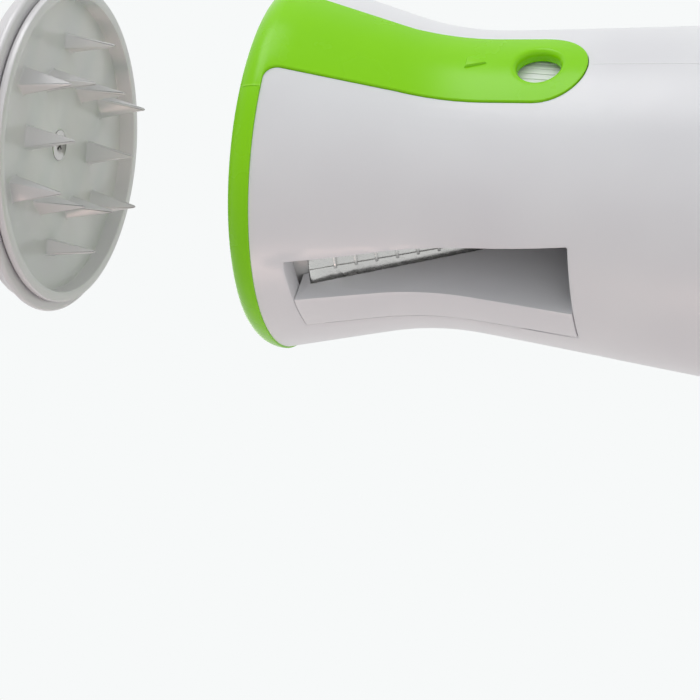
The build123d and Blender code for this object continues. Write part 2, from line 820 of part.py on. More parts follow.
with BuildPart() as crank_screw:
    with BuildSketch(Plane.XY.offset(spindle_top_z)):
        Circle(crank_screw_head_radius)
    extrude(amount=crank_screw_head_height)
    with BuildSketch(Plane.XY.offset(spindle_top_z)):
        Circle(crank_screw_radius)
    extrude(amount=-crank_screw_length)
crank_screw.part.label = "crank_screw"

with BuildPart() as crank_cap:
    with BuildSketch(Plane.XY.offset(crank_top_z - crank_pocket_depth)):
        Circle(crank_cap_radius)
    extrude(amount=crank_pocket_depth + crank_cap_rise / 2)
    fillet(crank_cap.edges().group_by(Axis.Z)[-1], crank_cap_rise / 2)
crank_cap.part.label = "crank_cap"

# ---------------------------------------------------------------- grip

grip_base_z = arm_top_z + grip_gap
grip_top_z = grip_base_z + grip_length
head_pocket_z = grip_top_z - pin_head_height - 2 * head_gap - grip_cap_plug
pin_head_z = head_pocket_z + head_gap
with BuildPart() as crank_pin:
    with BuildSketch(Plane.XY.offset(arm_base_z)):
        with Locations((crank_radius, 0)):
            Circle(pin_radius)
    extrude(amount=pin_head_z - arm_base_z)
    with BuildSketch(Plane.XY.offset(pin_head_z)):
        with Locations((crank_radius, 0)):
            Circle(pin_head_radius)
    extrude(amount=pin_head_height)
crank_pin.part.label = "crank_pin"

grip_plane = Plane.XZ.move(Pos(crank_radius, 0, 0))
with BuildPart() as crank_grip:
    with BuildSketch(grip_plane):
        with BuildLine():
            Polyline(
                (pin_radius + running_gap, grip_top_z),
                (pin_radius + running_gap, grip_base_z),
                (grip_end_radius, grip_base_z),
            )
            ThreePointArc(
                (grip_end_radius, grip_base_z),
                (grip_belly_radius, grip_base_z + grip_length * grip_belly_share),
                (grip_end_radius, grip_top_z),
            )
            Line((grip_end_radius, grip_top_z), (pin_radius + running_gap, grip_top_z))
        make_face()
    revolve(axis=Axis((crank_radius, 0, 0), (0, 0, 1)))
    with BuildSketch(Plane.XY.offset(head_pocket_z)):
        with Locations((crank_radius, 0)):
            Circle(grip_cap_plug_radius)
    extrude(amount=grip_length, mode=Mode.SUBTRACT)
crank_grip.part.label = "crank_grip"

with BuildPart() as grip_cap:
    with BuildSketch(Plane.XY.offset(grip_top_z)):
        with Locations((crank_radius, 0)):
            Circle(grip_end_radius)
    extrude(amount=grip_cap_thickness)
    fillet(grip_cap.edges().group_by(Axis.Z)[-1], grip_cap_round)
    with BuildSketch(Plane.XY.offset(grip_top_z)):
        with Locations((crank_radius, 0)):
            Circle(grip_cap_plug_radius)
    extrude(amount=-grip_cap_plug)
grip_cap.part.label = "grip_cap"

# ---------------------------------------------------------------- files

for piece in (
    barrel_shell,
    base_cap,
    collar,
    cutting_cone,
    window_insert,
    julienne_blade,
    slitting_comb,
    blade_screws,
    guard_ring,
    spindle_bush,
    spike_plate,
    spindle,
    thrust_washer,
    retaining_clip,
    plate_screw,
    crank_arm,
    crank_screw,
    crank_cap,
    crank_pin,
    crank_grip,
    grip_cap,
):
    export_step(piece.part, f"parts/{piece.part.label}.step")
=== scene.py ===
"""Looks of a hand-held spiralizer: white barrel, lime collar, spiked pusher and crank.

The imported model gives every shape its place. The pieces are copies of its nodes with their
sharp edges rounded, apart from the grip, which is modelled afresh. The moulded lines, the
pointer, the ribbed pad behind the eye, the arm's pocket and a screw's recess are added.
"""

import json
import logging
import math
from collections.abc import Callable, Iterator, Sequence
from contextlib import contextmanager
from dataclasses import dataclass, field
from enum import Enum

import bmesh
import bpy
from mathutils import Matrix, Vector

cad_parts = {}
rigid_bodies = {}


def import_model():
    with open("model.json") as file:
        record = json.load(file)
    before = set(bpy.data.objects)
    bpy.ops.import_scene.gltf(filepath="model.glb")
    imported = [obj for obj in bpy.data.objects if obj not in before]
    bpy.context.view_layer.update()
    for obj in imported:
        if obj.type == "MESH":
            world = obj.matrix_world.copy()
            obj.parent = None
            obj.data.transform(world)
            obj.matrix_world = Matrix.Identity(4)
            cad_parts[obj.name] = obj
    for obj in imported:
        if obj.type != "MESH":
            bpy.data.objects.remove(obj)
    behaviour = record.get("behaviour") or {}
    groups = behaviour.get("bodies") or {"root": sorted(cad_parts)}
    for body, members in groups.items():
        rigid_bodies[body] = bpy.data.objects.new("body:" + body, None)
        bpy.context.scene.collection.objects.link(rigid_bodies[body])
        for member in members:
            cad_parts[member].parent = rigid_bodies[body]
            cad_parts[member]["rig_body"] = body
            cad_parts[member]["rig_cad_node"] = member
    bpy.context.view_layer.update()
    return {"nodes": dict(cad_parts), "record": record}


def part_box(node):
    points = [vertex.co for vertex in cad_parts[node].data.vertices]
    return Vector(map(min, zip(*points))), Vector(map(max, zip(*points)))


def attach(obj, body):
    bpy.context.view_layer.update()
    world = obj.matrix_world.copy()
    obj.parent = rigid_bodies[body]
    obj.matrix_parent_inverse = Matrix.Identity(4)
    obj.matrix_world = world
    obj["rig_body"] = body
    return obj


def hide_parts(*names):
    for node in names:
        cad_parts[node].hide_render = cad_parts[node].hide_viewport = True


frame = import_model()

log = logging.getLogger("spiralizer")
MM = 0.001
MERGE_GAP = 0.002 * MM
FLAT_TURN = 0.05  # degrees between triangles that count as one flat face
SHARP_TURN = 40  # degrees; an edge that turns more is rounded
FACING = 0.9  # least cosine between a face's normal and the way that it has to look
FACING_OUT = 0.8  # the same for a face on a piece's outside, which curves

PlaceTest = Callable[[Vector], bool]


class Select(Enum):
    """What a click picks in edit mode."""

    VERTICES = "VERT"
    EDGES = "EDGE"
    FACES = "FACE"


class Rides(Enum):
    """The four bodies that move apart."""

    BARREL = "root"
    GUARD = "pusher"
    DRIVER = "driver"
    GRIP = "grip"


# ---------------------------------------------------------------- working on a mesh


def anywhere(place: Vector) -> bool:
    """Say yes to every place."""
    return True


def pick(piece: bpy.types.Object) -> None:
    """Make one object the only selected and the active one.

    Args:
        piece: The object to work on.
    """
    bpy.ops.object.select_all(action="DESELECT")
    piece.select_set(True)
    bpy.context.view_layer.objects.active = piece


@contextmanager
def editing(piece: bpy.types.Object, kind: Select = Select.VERTICES) -> Iterator[None]:
    """Open a piece in edit mode with nothing selected.

    Args:
        piece: The piece to open.
        kind: What its operators act on.
    """
    pick(piece)
    bpy.ops.object.mode_set(mode="EDIT")
    bpy.ops.mesh.select_mode(type=kind.value)
    bpy.ops.mesh.select_all(action="DESELECT")
    yield
    bpy.ops.object.mode_set(mode="OBJECT")


def new_piece(primitive: Callable[..., object], **settings: object) -> bpy.types.Object:
    """Add one of Blender's plain forms.

    Args:
        primitive: The operator that adds it.
        **settings: The operator's own settings.

    Returns:
        The new piece, which is the only one selected.
    """
    bpy.ops.object.select_all(action="DESELECT")
    primitive(**settings)
    return bpy.context.active_object


def choose_vertices(piece: bpy.types.Object, test: PlaceTest) -> None:
    """Select the open piece's vertices by their place.

    Args:
        piece: The piece in edit mode.
        test: Says whether a place is wanted.
    """
    work = bmesh.from_edit_mesh(piece.data)
    for vertex in work.verts:
        vertex.select_set(test(vertex.co))
    work.select_flush_mode()
    bmesh.update_edit_mesh(piece.data)


def choose_faces(piece: bpy.types.Object, direction: Vector, test: PlaceTest) -> None:
    """Select the open piece's faces that look one way, by their place.

    Args:
        piece: The piece in edit mode.
        direction: The way that the faces look.
        test: Says whether a face's middle is wanted.
    """
    work = bmesh.from_edit_mesh(piece.data)
    for face in work.faces:
        looks_there = face.normal.dot(direction) > FACING
        face.select_set(looks_there and test(face.calc_center_median()))
    work.select_flush_mode()
    bmesh.update_edit_mesh(piece.data)


def choose_sharp_edges(piece: bpy.types.Object, test: PlaceTest) -> None:
    """Select the open piece's sharp edges by the place of their middle.

    Args:
        piece: The piece in edit mode.
        test: Says whether an edge's middle is wanted.
    """
    work = bmesh.from_edit_mesh(piece.data)
    limit = math.radians(SHARP_TURN)
    for edge in work.edges:
        turn = edge.calc_face_angle(0.0)
        middle = (edge.verts[0].co + edge.verts[1].co) / 2
        edge.select_set(turn > limit and test(middle))
    work.select_flush_mode()
    bmesh.update_edit_mesh(piece.data)


def apply_modifier(piece: bpy.types.Object, kind: str, **settings: object) -> None:
    """Add a modifier to a piece and apply it.

    Args:
        piece: The piece that it shapes.
        kind: Blender's name of the modifier.
        **settings: The modifier's own settings.
    """
    pick(piece)
    modifier = piece.modifiers.new(kind.title(), kind)
    for name, value in settings.items():
        setattr(modifier, name, value)
    bpy.ops.object.modifier_apply(modifier=modifier.name)


def place_in_mesh(piece: bpy.types.Object) -> None:
    """Move a piece's place, turn and scale into its mesh."""
    pick(piece)
    bpy.ops.object.transform_apply(location=True, rotation=True, scale=True)


def merged_copy(node: str) -> bpy.types.Object:
    """Copy a node's mesh and merge its loose triangles.

    Args:
        node: The node's name.

    Returns:
        The new piece, with its place in its mesh.
    """
    pick(frame["nodes"][node])
    bpy.ops.object.duplicate()
    piece = bpy.context.active_object
    piece.name = f"{node}_moulded"
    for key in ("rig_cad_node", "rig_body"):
        del piece[key]
    piece.parent = None
    with editing(piece, Select.EDGES):
        bpy.ops.mesh.select_all(action="SELECT")
        bpy.ops.mesh.customdata_custom_splitnormals_clear()
        bpy.ops.mesh.remove_doubles(threshold=MERGE_GAP)
        bpy.ops.mesh.dissolve_limited(angle_limit=math.radians(FLAT_TURN))
        bpy.ops.mesh.vert_connect_concave()  # a ring as one face would close over its hole
    return piece


def soften(piece: bpy.types.Object, width: float, where: PlaceTest = anywhere) -> None:
    """Round a piece's sharp edges and shade it smooth.

    Args:
        piece: The merged piece.
        width: The width of the rounding, in metres.
        where: Says whether the edge at a place is rounded.
    """
    with editing(piece, Select.EDGES):
        choose_sharp_edges(piece, where)
        bpy.ops.mesh.bevel(
            offset=width, segments=2, affect="EDGES", clamp_overlap=False, loop_slide=False
        )
    smooth(piece)


def softened_copy(node: str, width: float) -> bpy.types.Object:
    """Copy a node and round all its sharp edges.

    Args:
        node: The node's name.
        width: The width of the rounding, in metres.

    Returns:
        The new piece.
    """
    piece = merged_copy(node)
    soften(piece, width)
    return piece


def smooth(piece: bpy.types.Object, angle: float = 35) -> None:
    """Shade a piece smooth, apart from its sharp edges.

    Args:
        piece: The piece.
        angle: The turn that stays sharp, in degrees.
    """
    pick(piece)
    bpy.ops.object.shade_smooth_by_angle(angle=math.radians(angle))


def cut_away(piece: bpy.types.Object, cutter: bpy.types.Object) -> None:
    """Cut a shape out of a piece and delete the shape.

    Args:
        piece: The piece that is cut.
        cutter: The closed shape that is taken out.
    """
    apply_modifier(piece, "BOOLEAN", operation="DIFFERENCE", object=cutter, solver="EXACT")
    bpy.data.objects.remove(cutter)


def raised_line(
    source: bpy.types.Object, turn: float, width: float, rise: float, wanted: PlaceTest
) -> bpy.types.Object:
    """Raise a fine moulded line along a piece's outside, in a plane through the tool's axis.

    Args:
        source: The merged piece that carries the line.
        turn: The plane's turn about the axis from +X, in degrees.
        width: The line's width, in metres.
        rise: How far it stands out, in metres.
        wanted: Says whether the line runs at a place.

    Returns:
        The ridge as a piece of its own.
    """
    pick(source)
    bpy.ops.object.duplicate()
    piece = bpy.context.active_object
    across = Vector((-math.sin(math.radians(turn)), math.cos(math.radians(turn)), 0))
    with editing(piece, Select.FACES):
        for side in (-1, 1):
            bpy.ops.mesh.select_all(action="SELECT")
            bpy.ops.mesh.bisect(
                plane_co=across * side * width / 2, plane_no=across * side, clear_outer=True
            )
        work = bmesh.from_edit_mesh(piece.data)
        for face in work.faces:
            middle = face.calc_center_median()
            outer = face.normal.dot(middle.xy.to_3d().normalized()) > FACING_OUT
            face.select_set(not (outer and wanted(middle)))
        bmesh.update_edit_mesh(piece.data)
        bpy.ops.mesh.delete(type="FACE")
    apply_modifier(piece, "SOLIDIFY", thickness=2 * rise, offset=0)
    smooth(piece)
    return piece


def stretched_ring(
    radii: Sequence[tuple[float, float]], spot: Vector, count: int
) -> bpy.types.Object:
    """Draw a ring of vertices up through stations, each with its own radius.

    Args:
        radii: Height and radius of each station, in metres.
        spot: Where the ring's axis stands.
        count: Vertices round the ring.

    Returns:
        A wall that is open at both ends.
    """
    height, radius = radii[0]
    piece = new_piece(
        bpy.ops.mesh.primitive_circle_add,
        vertices=count,
        radius=radius,
        location=(spot.x, spot.y, height),
    )
    place_in_mesh(piece)
    with editing(piece):
        bpy.ops.mesh.select_all(action="SELECT")
        for next_height, next_radius in radii[1:]:
            bpy.ops.mesh.extrude_edges_move(
                TRANSFORM_OT_translate={"value": (0, 0, next_height - height)}
            )
            share = next_radius / radius
            bpy.ops.transform.resize(value=(share, share, 1))
            height, radius = next_height, next_radius
    return piece


def cross_recess(piece: bpy.types.Object, at: Vector, outward: Vector, across: float) -> None:
    """Cut a cross recess into a screw head.

    Args:
        piece: The screw.
        at: The middle of the head's face.
        outward: The way that the face looks.
        across: The width of the cross.
    """
    slot_width, height = across / 5, across / 2.2  # half of the height is in the head
    floor_share = (0.6, 0.8, 1)  # the slots narrow towards their floor
    for turn in (0.0, math.pi / 2):
        slot = new_piece(bpy.ops.mesh.primitive_cube_add, size=1)
        slot.scale = (across, slot_width, height)
        with editing(slot, Select.FACES):
            choose_faces(slot, Vector((0, 0, -1)), anywhere)
            bpy.ops.transform.resize(value=floor_share)
        crossing = Matrix.Rotation(turn, 3, "Z").to_quaternion()
        slot.rotation_mode = "QUATERNION"
        slot.rotation_quaternion = outward.to_track_quat("Z", "Y") @ crossing
        slot.location = at
        place_in_mesh(slot)
        cut_away(piece, slot)


# ---------------------------------------------------------------- finishes

NOISE_SPAN = (0.3, 0.7)  # most of a noise's values lie between these


def linear(code: str) -> tuple[float, float, float, float]:
    """Turn an sRGB hex colour into linear red, green, blue and alpha.

    Args:
        code: Six hex digits.

    Returns:
        The colour as a shader socket takes it.
    """
    parts = [int(code[at : at + 2], 16) / 255 for at in (0, 2, 4)]
    red, green, blue = (
        part / 12.92 if part <= 0.04045 else ((part + 0.055) / 1.055) ** 2.4 for part in parts
    )
    return red, green, blue, 1.0


def add_node(
    tree: bpy.types.NodeTree,
    kind: str,
    inputs: dict[str | int, object] | None = None,
    **settings: object,
) -> bpy.types.Node:
    """Add a shader node with its settings, its values and its links.

    Args:
        tree: The node tree.
        kind: The node's type, without the word that all of them begin with.
        inputs: For each input, a value or the output socket that feeds it.
        **settings: The node's own settings.

    Returns:
        The new node.
    """
    node = tree.nodes.new(f"ShaderNode{kind}")
    for name, value in settings.items():
        setattr(node, name, value)
    for name, value in (inputs or {}).items():
        if isinstance(value, bpy.types.NodeSocket):
            tree.links.new(value, node.inputs[name])
        else:
            node.inputs[name].default_value = value
    return node


def blank_material(name: str) -> tuple[bpy.types.Material, bpy.types.NodeTree]:
    """Make a material with an empty node tree.

    Args:
        name: The material's name.

    Returns:
        The material and its tree.
    """
    material = bpy.data.materials.new(name)
    material.use_nodes = True
    material.node_tree.nodes.clear()
    return material, material.node_tree


@dataclass(frozen=True)
class MouldedPlastic:
    """A moulded plastic: an even colour, a fine grain from the tool and slightly worn edges."""

    name: str
    colour: str
    shade: str  # where the melt flowed thicker
    worn: str  # rubbed edges
    roughness: float
    roughness_spread: float = 0.06
    ior: float = 1.54
    gloss: float = 0.5  # the shader's specular level
    grain: float = 0.7 * MM  # a moulding tool's grain is finer; this is coarse enough to show
    grain_depth: float = 0.006 * MM
    ripple: float = 17 * MM  # sink marks: long soft waves that bend the highlights
    ripple_depth: float = 0.05 * MM
    cloud: float = 30 * MM  # patches of thicker flow
    cloud_span: tuple[float, float] = (0.35, 0.7)
    smear: float = 9 * MM  # patches that hands have polished or dulled
    rub: float = 3 * MM  # how finely a rubbed edge is broken up
    rubbed_span: tuple[float, float] = (0.53, 0.62)  # the shader's pointiness, even to sharp

    def build(self) -> bpy.types.Material:
        """Make the material."""
        material, tree = blank_material(self.name)
        place = add_node(tree, "TexCoord").outputs["Object"]
        cloud = add_node(
            tree, "TexNoise", {"Vector": place, "Scale": 1 / self.cloud, "Detail": 2.0}
        )
        start, full = self.cloud_span
        tinted = add_node(
            tree, "MapRange", {"Value": cloud.outputs[0], "From Min": start, "From Max": full}
        )
        flow = add_node(
            tree,
            "Mix",
            {"Factor": tinted.outputs[0], 6: linear(self.colour), 7: linear(self.shade)},
            data_type="RGBA",
        )
        # a corner's own sharpness, broken up by noise, gives the rubbed edges
        corner = add_node(tree, "NewGeometry").outputs["Pointiness"]
        rub = add_node(tree, "TexNoise", {"Vector": place, "Scale": 1 / self.rub, "Detail": 3.0})
        even, full = self.rubbed_span
        sharp = add_node(tree, "MapRange", {"Value": corner, "From Min": even, "From Max": full})
        wear = add_node(
            tree, "Math", {0: sharp.outputs[0], 1: rub.outputs[0]}, operation="MULTIPLY"
        )
        colour = add_node(
            tree,
            "Mix",
            {"Factor": wear.outputs[0], 6: flow.outputs[2], 7: linear(self.worn)},
            data_type="RGBA",
        )
        grain = add_node(
            tree, "TexNoise", {"Vector": place, "Scale": 1 / self.grain, "Detail": 3.0}
        )
        ripple = add_node(
            tree, "TexNoise", {"Vector": place, "Scale": 1 / self.ripple, "Detail": 1.0}
        )
        waves = add_node(
            tree,
            "Bump",
            {"Height": ripple.outputs[0], "Distance": self.ripple_depth, "Strength": 1.0},
        )
        surface = add_node(
            tree,
            "Bump",
            {
                "Height": grain.outputs[0],
                "Distance": self.grain_depth,
                "Strength": 1.0,
                "Normal": waves.outputs[0],
            },
        )
        smear = add_node(
            tree, "TexNoise", {"Vector": place, "Scale": 1 / self.smear, "Detail": 4.0}
        )
        roughness = add_node(
            tree,
            "MapRange",
            {
                "Value": smear.outputs[0],
                "From Min": NOISE_SPAN[0],
                "From Max": NOISE_SPAN[1],
                "To Min": self.roughness - self.roughness_spread / 2,
                "To Max": self.roughness + self.roughness_spread / 2,
            },
        )
        shader = add_node(
            tree,
            "BsdfPrincipled",
            {
                "Base Color": colour.outputs[2],
                "Roughness": roughness.outputs[0],
                "IOR": self.ior,
                "Specular IOR Level": self.gloss,
                "Normal": surface.outputs[0],
            },
        )
        add_node(tree, "OutputMaterial", {"Surface": shader.outputs[0]})
        return material


@dataclass(frozen=True)
class MachinedSteel:
    """Stainless steel, ground or turned: fine lines that stretch the highlights one way."""

    name: str
    colour: str
    stain: str  # where fingers and water left a film
    lines: Vector  # the noise's scale along each axis: a small share draws it out into lines
    roughness: float
    smoother: float = 0.05  # how far the lines' tops fall below that roughness
    rougher: float = 0.08  # and how far their floors rise above it
    spacing: float = 0.5 * MM  # real lines are finer; these are coarse enough to show
    depth: float = 0.0005 * MM
    film: float = 7 * MM

    def build(self) -> bpy.types.Material:
        """Make the material."""
        material, tree = blank_material(self.name)
        place = add_node(tree, "TexCoord").outputs["Object"]
        along = add_node(tree, "Mapping", {"Vector": place, "Scale": tuple(self.lines)})
        lines = add_node(
            tree,
            "TexNoise",
            {"Vector": along.outputs[0], "Scale": 1 / self.spacing, "Detail": 1.0},
        )
        relief = add_node(
            tree, "Bump", {"Height": lines.outputs[0], "Distance": self.depth, "Strength": 1.0}
        )
        roughness = add_node(
            tree,
            "MapRange",
            {
                "Value": lines.outputs[0],
                "From Min": NOISE_SPAN[0],
                "From Max": NOISE_SPAN[1],
                "To Min": self.roughness - self.smoother,
                "To Max": self.roughness + self.rougher,
            },
        )
        stain = add_node(
            tree, "TexNoise", {"Vector": place, "Scale": 1 / self.film, "Detail": 2.0}
        )
        colour = add_node(
            tree,
            "Mix",
            {"Factor": stain.outputs[0], 6: linear(self.colour), 7: linear(self.stain)},
            data_type="RGBA",
        )
        shader = add_node(
            tree,
            "BsdfPrincipled",
            {
                "Base Color": colour.outputs[2],
                "Metallic": 1.0,
                "Roughness": roughness.outputs[0],
                "Normal": relief.outputs[0],
            },
        )
        add_node(tree, "OutputMaterial", {"Surface": shader.outputs[0]})
        return material


# ABS from a finely blasted tool: an opaque, cool white with broad, soft highlights
BARREL_WHITE = MouldedPlastic("abs_white_satin", "ECECEF", "E6E5E9", "F5F5F6", roughness=0.33)
# ABS with little added white, from a plain tool: a shade greyer and duller, inside the mouth
CONE_WHITE = MouldedPlastic("abs_white_natural", "E4E3E2", "DDDBDA", "EFEEED", roughness=0.36)
# SAN from a polished tool: harder and denser than ABS, so its highlights are tighter
PUSHER_WHITE = MouldedPlastic(
    "san_white_glossy", "E3E1E3", "DAD7DA", "F0EFF0", roughness=0.24, ior=1.57
)
# ABS, coloured through, from a polished tool: a full green that weak highlights leave vivid
LIME = MouldedPlastic(
    "abs_lime_glossy",
    "90E004",
    "88D802",
    "B0F04C",
    roughness=0.26,
    gloss=0.22,
    grain_depth=0.004 * MM,
)
# natural acetal: a creamy, waxy white with hardly a highlight
ACETAL = MouldedPlastic("acetal_natural", "EFEDE4", "E7E4D8", "F5F4EE", roughness=0.42, ior=1.48)
# stainless sheet, ground along the blade: a bright grey with its highlights drawn across the lines
BLADE_STEEL = MachinedSteel(
    "stainless_ground", "D9D8D6", "C9C8C6", Vector((1, 1, 0.05)), roughness=0.24
)
# stainless bar, turned on a lathe: rings round the axis, and tighter highlights
TURNED_STEEL = MachinedSteel(
    "stainless_turned", "CBCAC8", "BDBBB8", Vector((0.1, 0.1, 1)), roughness=0.2
)

SLOT_FINISHES = {
    "barrel_white": BARREL_WHITE,
    "cone_white": CONE_WHITE,
    "lime_green": LIME,
    "blade_steel": BLADE_STEEL,
    "fastener_steel": TURNED_STEEL,
    "pusher_white": PUSHER_WHITE,
    "bearing_acetal": ACETAL,
}


class Paint:
    """The finishes as materials, each made once, and the slot that every node takes."""

    def __init__(self, record: dict) -> None:
        """Make the materials and read the record's slots.

        Args:
            record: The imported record.
        """
        self.materials = {slot: finish.build() for slot, finish in SLOT_FINISHES.items()}
        self.slot_of = {part["node"]: part["material_slot"] for part in record["subparts"]}

    def coat(self, piece: bpy.types.Object, slot: str) -> None:
        """Give a piece one material all over.

        Args:
            piece: The piece.
            slot: The record's material slot.
        """
        piece.data.materials.clear()
        piece.data.materials.append(self.materials[slot])

    def coat_nodes(self) -> None:
        """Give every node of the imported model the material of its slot."""
        for node, piece in frame["nodes"].items():
            self.coat(piece, self.slot_of[node])

    def hand_over(
        self, piece: bpy.types.Object, name: str, slot: str, body: Rides, *nodes: str
    ) -> None:
        """Finish a new piece: its name, material, body and the nodes that it stands for.

        Args:
            piece: The piece, in place.
            name: Its name.
            slot: The record's material slot.
            body: The body that it rides on.
            *nodes: The nodes that it replaces.
        """
        piece.name = name
        piece.data.name = name
        self.coat(piece, slot)
        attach(piece, body.value)
        if nodes:
            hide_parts(*nodes)
        log.info("%s: %d faces, on %s", name, len(piece.data.polygons), body.value)


# ---------------------------------------------------------------- sub-assemblies


@dataclass
class Barrel:
    """The hourglass moulding with its side window, and the cap that closes its foot."""

    paint: Paint
    edge: float = 0.4 * MM
    seat_edge: float = 0.1 * MM
    seat_x: float = 18 * MM  # the strip's seat lies beyond this
    seat_low_z: float = 80 * MM  # a little below the strip's tip
    seat_high_z: float = 138 * MM  # a little below the ring
    cap_edge: float = 0.3 * MM
    parting_turn: float = 0.9  # degrees from the strip's middle, as the photograph shows it
    parting_width: float = 0.22 * MM
    parting_rise: float = 0.05 * MM
    eye_rise: float = 8.7 * MM  # from the collar's lowest point to the middle of the eye
    pad_sides: int = 64
    pad_radius: float = 5.8 * MM
    pad_face_x: float = 26.95 * MM
    pad_thickness: float = 0.65 * MM
    rib_pitch: float = 1.5 * MM
    rib_width: float = 0.35 * MM
    rib_rise: float = 0.16 * MM

    def build(self) -> None:
        """Make the barrel with its parting line, the pad behind the eye, and the cap."""
        shell = merged_copy("barrel_shell")
        line = raised_line(
            shell, self.parting_turn, self.parting_width, self.parting_rise, self.on_parting
        )
        soften(shell, self.edge, lambda place: not self.in_seat(place))
        soften(shell, self.seat_edge, self.in_seat)
        self.paint.hand_over(shell, "barrel", "barrel_white", Rides.BARREL, "barrel_shell")
        self.paint.hand_over(line, "parting_line", "barrel_white", Rides.BARREL)
        self.paint.hand_over(self.eye_pad(), "eye_pad", "barrel_white", Rides.BARREL)
        cap = softened_copy("base_cap", self.cap_edge)
        self.paint.hand_over(cap, "foot_cap", "barrel_white", Rides.BARREL, "base_cap")

    def in_seat(self, place: Vector) -> bool:
        """Say whether a place is at the collar's seat, where the seam has to stay tight."""
        beside_strip = place.x > self.seat_x and place.z > self.seat_low_z
        return beside_strip or place.z > self.seat_high_z

    def on_parting(self, place: Vector) -> bool:
        """Say whether the mould's line runs at a place: down the back, and below the strip."""
        return place.x < 0 or place.z < self.seat_low_z

    def eye_pad(self) -> bpy.types.Object:
        """Model the ribbed disc that shows through the hanging eye.

        Returns:
            The disc, standing in the hollow behind the eye.
        """
        middle_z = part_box("collar")[0].z + self.eye_rise
        piece = new_piece(
            bpy.ops.mesh.primitive_cylinder_add,
            vertices=self.pad_sides,
            radius=self.pad_radius,
            depth=self.pad_thickness,
            location=(self.pad_face_x - self.pad_thickness / 2, 0, middle_z),
            rotation=(0, math.pi / 2, 0),
        )
        place_in_mesh(piece)
        ribs = int(self.pad_radius / self.rib_pitch)
        for index in range(-ribs, ribs + 1):
            for side in (-1, 1):
                cut_y = index * self.rib_pitch + side * self.rib_width / 2
                with editing(piece, Select.FACES):
                    bpy.ops.mesh.select_all(action="SELECT")
                    bpy.ops.mesh.bisect(plane_co=(0, cut_y, 0), plane_no=(0, 1, 0))
        with editing(piece, Select.FACES):
            choose_faces(piece, Vector((1, 0, 0)), self.on_rib)
            bpy.ops.mesh.extrude_region_move(
                TRANSFORM_OT_translate={"value": (self.rib_rise, 0, 0)}
            )
        smooth(piece)
        return piece

    def on_rib(self, place: Vector) -> bool:
        """Say whether a place on the pad's face lies on a rib."""
        pitches = place.y / self.rib_pitch
        return abs(pitches - round(pitches)) * self.rib_pitch < self.rib_width / 2


@dataclass
class Collar:
    """The lime mouth ring with its strip and hanging eye, and the moulded pointer on the strip."""

    paint: Paint
    edge: float = 0.3 * MM
    strip_edge: float = 0.12 * MM
    neck_high_z: float = 142 * MM  # just above the ring's lower edge
    step_turn: float = -24.0  # degrees from the strip's middle
    step_width: float = 0.3 * MM
    step_rise: float = 0.09 * MM
    step_run: float = 1 * MM  # from there down to the ring's lower edge
    pointer_base_z: float = 107.0 * MM
    pointer_length: float = 4.6 * MM
    pointer_width: float = 3.4 * MM
    pointer_rise: float = 0.45 * MM
    pointer_top: float = 0.74  # the size of its flat top, as a share of its foot
    pointer_edge: float = 0.1 * MM
    strip_face_x: float = 29.67 * MM  # the strip's surface at the waist

    def build(self) -> None:
        """Make the collar and its pointer."""
        ring = merged_copy("collar")
        step = raised_line(ring, self.step_turn, self.step_width, self.step_rise, self.on_step)
        self.paint.hand_over(step, "ring_step", "lime_green", Rides.BARREL)
        soften(ring, self.edge, lambda place: not self.at_seam(place))
        soften(ring, self.strip_edge, self.at_seam)
        self.paint.hand_over(ring, "mouth_collar", "lime_green", Rides.BARREL, "collar")
        self.paint.hand_over(self.pointer(), "pointer", "lime_green", Rides.BARREL)

    def at_seam(self, place: Vector) -> bool:
        """Say whether a place is low enough for the barrel to border the collar."""
        return place.z < self.neck_high_z

    def on_step(self, place: Vector) -> bool:
        """Say whether the ring's step runs at a place: on the strip's side only."""
        return place.x > 0 and self.neck_high_z - self.step_run < place.z

    def pointer(self) -> bpy.types.Object:
        """Model the raised triangle that points down the strip.

        Returns:
            The triangle, sunk a little into the strip.
        """
        middle_z = self.pointer_base_z - self.pointer_length / 3
        piece = new_piece(
            bpy.ops.mesh.primitive_cylinder_add,
            vertices=3,
            radius=1,
            depth=1,
            location=(self.strip_face_x, 0, middle_z),
        )
        # a triangle in a circle of radius 1 is 1.5 long and the square root of 3 wide
        piece.scale = (
            self.pointer_width / math.sqrt(3),
            self.pointer_length / 1.5,
            2 * self.pointer_rise,
        )
        # its first corner looks along +Y and its top along +Z: they turn to -Z and +X
        point_down = Matrix(((0, 0, 1), (-1, 0, 0), (0, -1, 0)))
        piece.rotation_mode = "QUATERNION"
        piece.rotation_quaternion = point_down.to_quaternion()
        place_in_mesh(piece)
        with editing(piece, Select.FACES):
            choose_faces(piece, Vector((1, 0, 0)), anywhere)
            bpy.ops.transform.resize(value=(1, self.pointer_top, self.pointer_top))
        apply_modifier(piece, "BEVEL", width=self.pointer_edge, segments=2, limit_method="ANGLE")
        smooth(piece, angle=60)
        return piece


@dataclass
class CuttingUnit:
    """The cone with its slot, the pitched blade, the slitting comb and the insert round them."""

    paint: Paint
    cone_edge: float = 0.25 * MM
    insert_edge: float = 0.15 * MM
    insert_top_z: float = 131 * MM  # the thin seam above this leaves no room to round an edge
    steel_edge: float = 0.08 * MM

    def build(self) -> None:
        """Make the pieces that stand in the mouth and behind the window."""
        cone = softened_copy("cutting_cone", self.cone_edge)
        self.paint.hand_over(cone, "cone", "cone_white", Rides.BARREL, "cutting_cone")
        insert = merged_copy("window_insert")
        soften(insert, self.insert_edge, lambda place: place.z < self.insert_top_z)
        self.paint.hand_over(insert, "chute_insert", "barrel_white", Rides.BARREL, "window_insert")
        for node, name in (("julienne_blade", "blade"), ("slitting_comb", "comb")):
            piece = softened_copy(node, self.steel_edge)
            self.paint.hand_over(piece, name, "blade_steel", Rides.BARREL, node)


